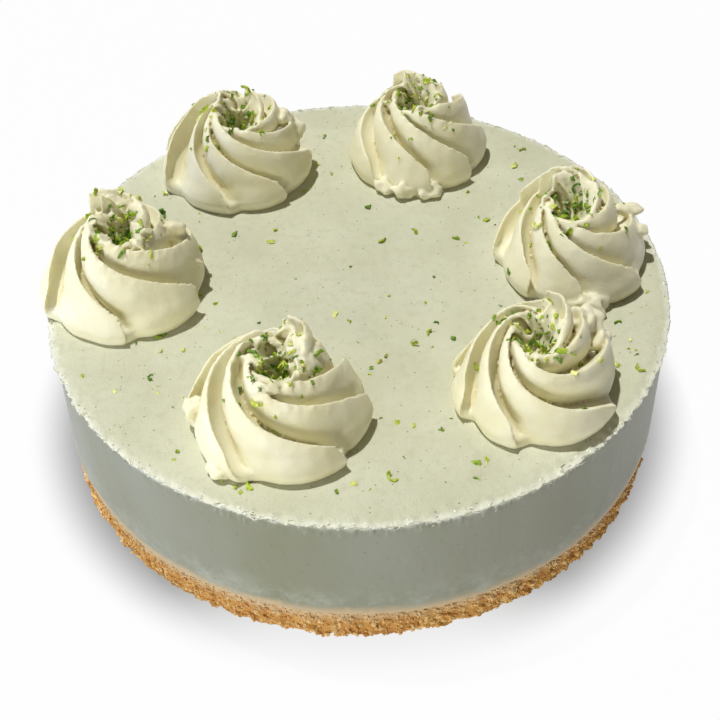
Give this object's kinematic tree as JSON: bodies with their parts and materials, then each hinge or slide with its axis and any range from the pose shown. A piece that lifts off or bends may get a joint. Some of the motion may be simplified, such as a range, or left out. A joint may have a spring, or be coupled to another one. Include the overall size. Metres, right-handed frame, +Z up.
{
  "type": "lime cheesecake",
  "caption": "Round set cheesecake on a biscuit crumb base, with piped cream swirls in a ring around the top and lime zest flakes.",
  "frame": {"origin": "middle of the crumb base's flat underside", "axes": "+Z up; the camera of the picture stands on the -Y side, and the swirl at the cake's left edge is on -X"},
  "size_m": [0.1804, 0.1803, 0.0769],
  "materials": {
    "biscuit_crumb": "golden brown pressed biscuit crumb, coarse and dull",
    "lime_filling": "pale grey-green set filling, matt with a soft sheen and fine pores",
    "piped_cream": "pale lime cream, smooth with a soft sheen",
    "lime_zest": "moist grated lime peel, dark green to yellow-green"
  },
  "bodies": {
    "root": {"crumb_base": "biscuit_crumb", "filling": "lime_filling", "swirl_1": "piped_cream", "swirl_2": "piped_cream", "swirl_3": "piped_cream", "swirl_4": "piped_cream", "swirl_5": "piped_cream", "swirl_6": "piped_cream"}
  },
  "joints": []
}
